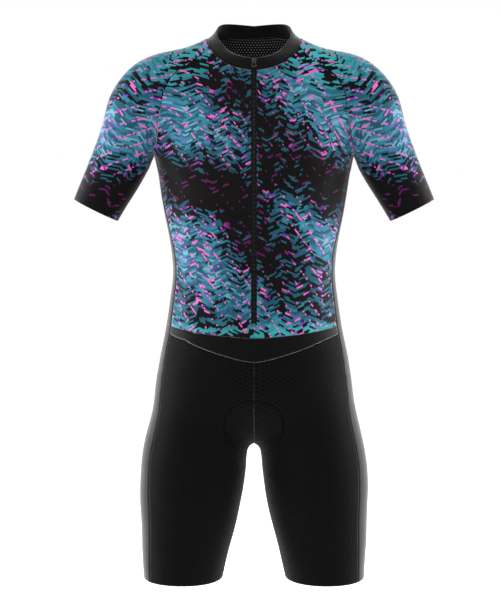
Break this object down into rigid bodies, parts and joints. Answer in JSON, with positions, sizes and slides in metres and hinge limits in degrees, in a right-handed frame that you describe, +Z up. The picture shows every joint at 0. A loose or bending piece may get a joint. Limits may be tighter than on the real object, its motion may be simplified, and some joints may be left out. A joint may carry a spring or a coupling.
{
  "type": "triathlon suit",
  "caption": "Short-sleeved one-piece triathlon suit, filled out as if worn and hollow, with a front zip, low collar, knee-length legs and a seat pad.",
  "frame": {"origin": "midway between the two points beside the neck where the wearer's shoulders carry the suit", "axes": "+Z up from hems to collar, -Y to the front of the wearer, +X to the wearer's left"},
  "size_m": [0.6214, 0.239, 0.9538],
  "materials": {
    "print_cloth": "printed stretch knit, satin",
    "smooth_cloth": "smooth stretch knit with a slight sheen",
    "dimpled_cloth": "dimpled stretch knit, matt",
    "pad_cloth": "brushed knit over foam, matt",
    "zip_plastic": "satin nylon",
    "zip_tape": "woven tape, matt",
    "zip_metal": "gunmetal, satin"
  },
  "bodies": {
    "garment": {"front_left": "print_cloth", "front_right": "print_cloth", "back": "print_cloth", "sleeve_left": "print_cloth", "sleeve_right": "print_cloth", "side_left": "smooth_cloth", "side_right": "smooth_cloth", "waist_front": "smooth_cloth", "collar": "smooth_cloth", "leg_front_left": "dimpled_cloth", "leg_front_right": "dimpled_cloth", "leg_back_left": "dimpled_cloth", "leg_back_right": "dimpled_cloth", "chamois_pad": "pad_cloth", "zip_coil": "zip_plastic", "zip_tape_left": "zip_tape", "zip_tape_right": "zip_tape", "zip_bottom_stop": "zip_metal", "zip_slider": "zip_metal"},
    "zip_pull": {"zip_pull": "zip_metal"}
  },
  "joints": [
    {"name": "pull_tab", "type": "hinge", "parent": "garment", "child": "zip_pull", "pos_m": [0, -0.06957, -0.04605], "axis": [-1, 0, 0], "range_deg": [0, 150]}
  ]
}
